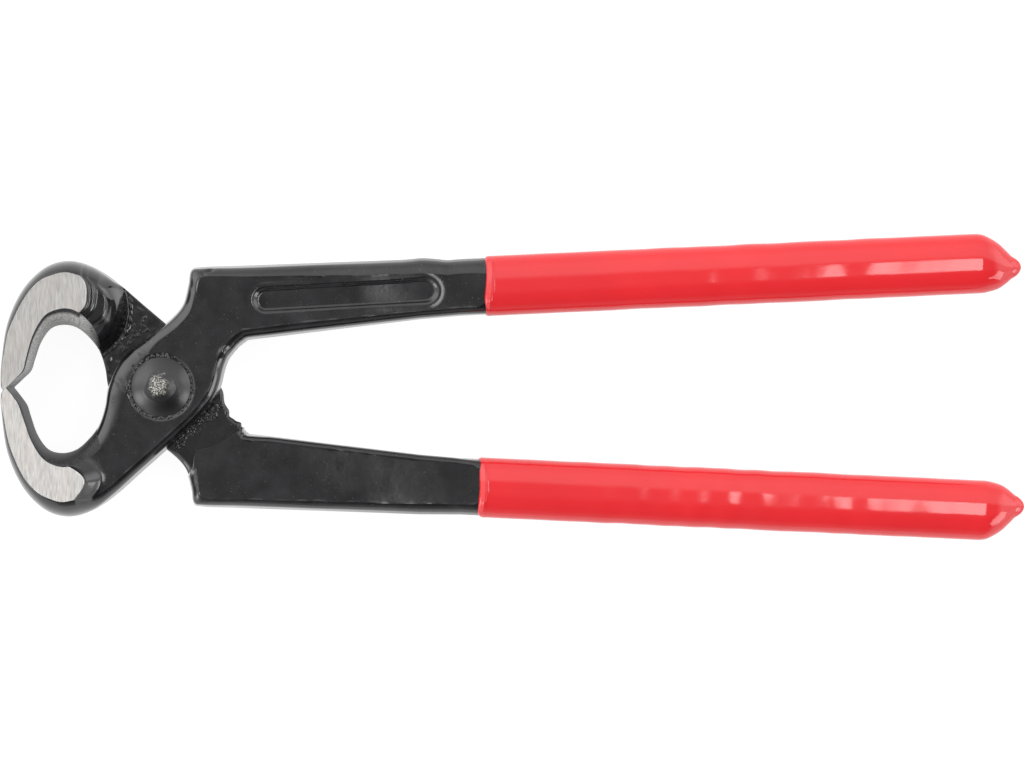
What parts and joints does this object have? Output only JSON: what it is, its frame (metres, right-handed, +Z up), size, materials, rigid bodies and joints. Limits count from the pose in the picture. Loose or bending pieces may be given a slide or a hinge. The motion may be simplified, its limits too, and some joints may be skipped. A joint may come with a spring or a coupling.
{
  "type": "carpenter's pincers",
  "caption": "Carpenter's pincers with wide end-cutting jaws, a riveted lap joint and long handles in dipped red grips.",
  "frame": {"origin": "under the middle of the whole tool, on the surface that its jaws lie on", "axes": "+X along the tool from the jaws to the handle ends, +Y across the handles, towards the handle of the lever whose plate is on top, +Z up along the rivet's axis"},
  "size_m": [0.2501, 0.0754, 0.024],
  "materials": {
    "black_lacquer": "satin black lacquer over forged steel",
    "ground_steel": "bare steel with fine grinding lines",
    "rivet_lacquer": "satin black lacquer with a rough bare spot in the middle",
    "red_vinyl": "glossy dipped vinyl"
  },
  "bodies": {
    "upper": {"upper_lever": "black_lacquer", "pivot_rivet": "rivet_lacquer", "upper_grip": "red_vinyl"},
    "lower": {"lower_lever": "black_lacquer", "lower_grip": "red_vinyl"}
  },
  "joints": [
    {"name": "jaw_hinge", "type": "hinge", "parent": "upper", "child": "lower", "pos_m": [-0.08628, 0, 0.012], "axis": [0, 0, -1], "range_deg": [0, 28]}
  ]
}
